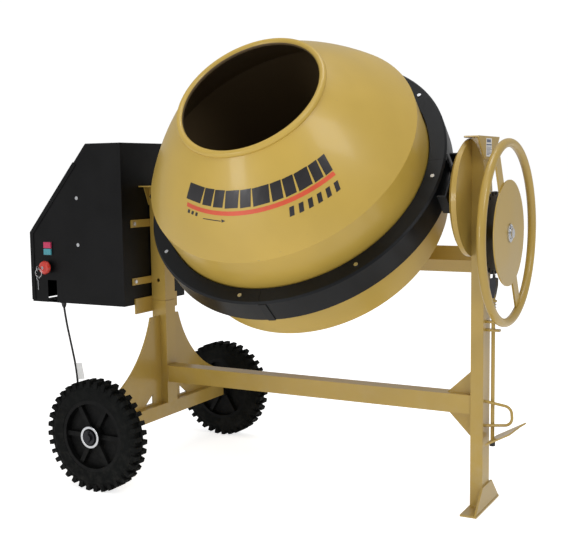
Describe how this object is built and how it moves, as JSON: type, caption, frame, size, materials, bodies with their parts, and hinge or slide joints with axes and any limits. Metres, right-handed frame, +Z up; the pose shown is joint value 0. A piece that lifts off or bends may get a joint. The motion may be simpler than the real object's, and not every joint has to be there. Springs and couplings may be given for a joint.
{
  "type": "tilting drum concrete mixer",
  "caption": "Tilting-drum concrete mixer on a two-wheeled frame, with a belt-driven ring gear, a handwheel for tilting, a foot-pedal lock and a motor cabinet.",
  "frame": {"origin": "middle of the footprint at ground level, measured without the supply cord, its coil, plug and tag", "axes": "+Z up; +X along the tilt axis from the motor cabinet to the handwheel; the drum's mouth leans towards -Y"},
  "size_m": [1.8094, 0.9876, 1.4965],
  "materials": {
    "frame_paint": "satin ochre paint",
    "drum_paint": "satin ochre paint",
    "cabinet_paint": "fine-textured black powder coat",
    "guard_plastic": "moulded black plastic, slightly glossy",
    "tyre_rubber": "matt black rubber",
    "rim_plastic": "moulded black plastic",
    "steel": "bare turned steel",
    "zinc": "bright zinc plating",
    "bronze": "sintered bronze",
    "cast_iron": "oiled casting",
    "dark_steel": "blackened steel",
    "motor_paint": "grey hammered paint",
    "belt_rubber": "matt rubber",
    "switch_plastic": "smooth black plastic",
    "red_plastic": "glossy red",
    "stop_plastic": "glossy crimson",
    "start_plastic": "glossy blue-green",
    "cord_rubber": "matt black sheath",
    "paper": "white film"
  },
  "bodies": {
    "frame": {"axle_beam": "frame_paint", "lower_column": "frame_paint", "upper_column": "frame_paint", "column_spigot": "frame_paint", "column_wings": "frame_paint", "main_beam": "frame_paint", "right_post": "frame_paint", "post_cap": "frame_paint", "cabinet_straps": "frame_paint", "cabinet_bolts": "zinc", "frame_bushes": "bronze", "tilt_gear_cover": "frame_paint", "foot_guard": "frame_paint", "axle_bar": "zinc", "cabinet_body": "cabinet_paint", "cover_hinge_pin": "steel", "switch_box": "switch_plastic", "emergency_stop_body": "switch_plastic", "cord_gland": "switch_plastic", "power_cord": "cord_rubber", "cord_coil": "cord_rubber", "power_plug": "switch_plastic", "cord_tag": "paper", "motor_body": "motor_paint", "motor_mount": "cabinet_paint", "drive_belt": "belt_rubber", "return_spring": "steel"},
    "front_wheel": {"front_wheel_tyre": "tyre_rubber", "front_wheel_rim": "rim_plastic"},
    "back_wheel": {"back_wheel_tyre": "tyre_rubber", "back_wheel_rim": "rim_plastic"},
    "cover": {"cabinet_cover": "cabinet_paint"},
    "stop_button": {"stop_button": "stop_plastic"},
    "start_button": {"start_button": "start_plastic"},
    "stop_knob": {"emergency_knob": "red_plastic"},
    "key": {"release_key": "zinc"},
    "cradle": {"cradle_yoke": "frame_paint", "trunnion_pin": "zinc", "cradle_bushes": "bronze", "tilt_gear": "cast_iron", "guard_ring": "guard_plastic", "guard_screws": "zinc", "guard_brackets": "guard_plastic"},
    "drum": {"upper_shell": "drum_paint", "lower_shell": "drum_paint", "ring_gear": "cast_iron", "drum_bolts": "zinc", "mixing_paddles": "drum_paint", "drum_spindle": "steel"},
    "drive": {"drive_shaft": "steel", "large_pulley": "cast_iron", "drive_pinion": "cast_iron"},
    "motor_rotor": {"motor_shaft": "steel"},
    "tilt_wheel": {"handwheel": "frame_paint", "handwheel_shaft": "zinc", "tilt_pinion": "cast_iron", "lock_disc": "dark_steel"},
    "pedal": {"foot_pedal": "frame_paint", "lock_pawl": "dark_steel", "rod_cap": "switch_plastic"}
  },
  "joints": [
    {"name": "cradle_tilt", "type": "hinge", "parent": "frame", "child": "cradle", "pos_m": [0.16272, 0.03581, 0.982], "axis": [1, 0, 0], "range_deg": [-46.15, 86.54]},
    {"name": "handwheel_turn", "type": "hinge", "parent": "frame", "child": "tilt_wheel", "pos_m": [0.16272, 0.03581, 0.874], "axis": [1, 0, 0], "range_deg": [-225.05, 120.05]},
    {"name": "drum_spin", "type": "hinge", "parent": "cradle", "child": "drum", "pos_m": [0.16272, 0.03581, 0.982], "axis": [0, -0.7513, 0.66], "continuous": true},
    {"name": "drive_spin", "type": "hinge", "parent": "cradle", "child": "drive", "pos_m": [0.16272, 0.03581, 0.982], "axis": [1, 0, 0], "continuous": true},
    {"name": "motor_spin", "type": "hinge", "parent": "frame", "child": "motor_rotor", "pos_m": [-0.59728, 0.03581, 0.722], "axis": [1, 0, 0], "continuous": true},
    {"name": "front_wheel_roll", "type": "hinge", "parent": "frame", "child": "front_wheel", "pos_m": [-0.43728, -0.37119, 0.19], "axis": [0, 1, 0], "continuous": true},
    {"name": "back_wheel_roll", "type": "hinge", "parent": "frame", "child": "back_wheel", "pos_m": [-0.43728, 0.44281, 0.19], "axis": [0, 1, 0], "continuous": true},
    {"name": "cover_swing", "type": "hinge", "parent": "frame", "child": "cover", "pos_m": [-0.68529, 0.03581, 1.12331], "axis": [0, 1, 0], "range_deg": [0, 100]},
    {"name": "key_turn", "type": "hinge", "parent": "stop_knob", "child": "key", "pos_m": [-0.82128, -0.16719, 0.729], "axis": [0, 1, 0], "range_deg": [0, 60]},
    {"name": "stop_press", "type": "slide", "parent": "frame", "child": "stop_button", "axis": [0, 1, 0], "range_m": [0, 0.0035], "stiffness_N_per_m": 400, "springref_m": -0.003},
    {"name": "start_press", "type": "slide", "parent": "frame", "child": "start_button", "axis": [0, 1, 0], "range_m": [0, 0.0035], "stiffness_N_per_m": 400, "springref_m": -0.003},
    {"name": "knob_press", "type": "slide", "parent": "frame", "child": "stop_knob", "axis": [0, 1, 0], "range_m": [0, 0.005], "stiffness_N_per_m": 900, "springref_m": -0.004},
    {"name": "pedal_press", "type": "slide", "parent": "frame", "child": "pedal", "axis": [0, 0, 1], "range_m": [-0.014, 0.008], "stiffness_N_per_m": 1600, "springref_m": 0.00658, "deforming": ["return_spring"]}
  ],
  "couplings": [
    {"joint": "handwheel_turn", "follows": "cradle_tilt", "ratio": -2.6},
    {"joint": "drive_spin", "follows": "drum_spin", "ratio": 10.833},
    {"joint": "motor_spin", "follows": "drum_spin", "ratio": 58.036}
  ]
}
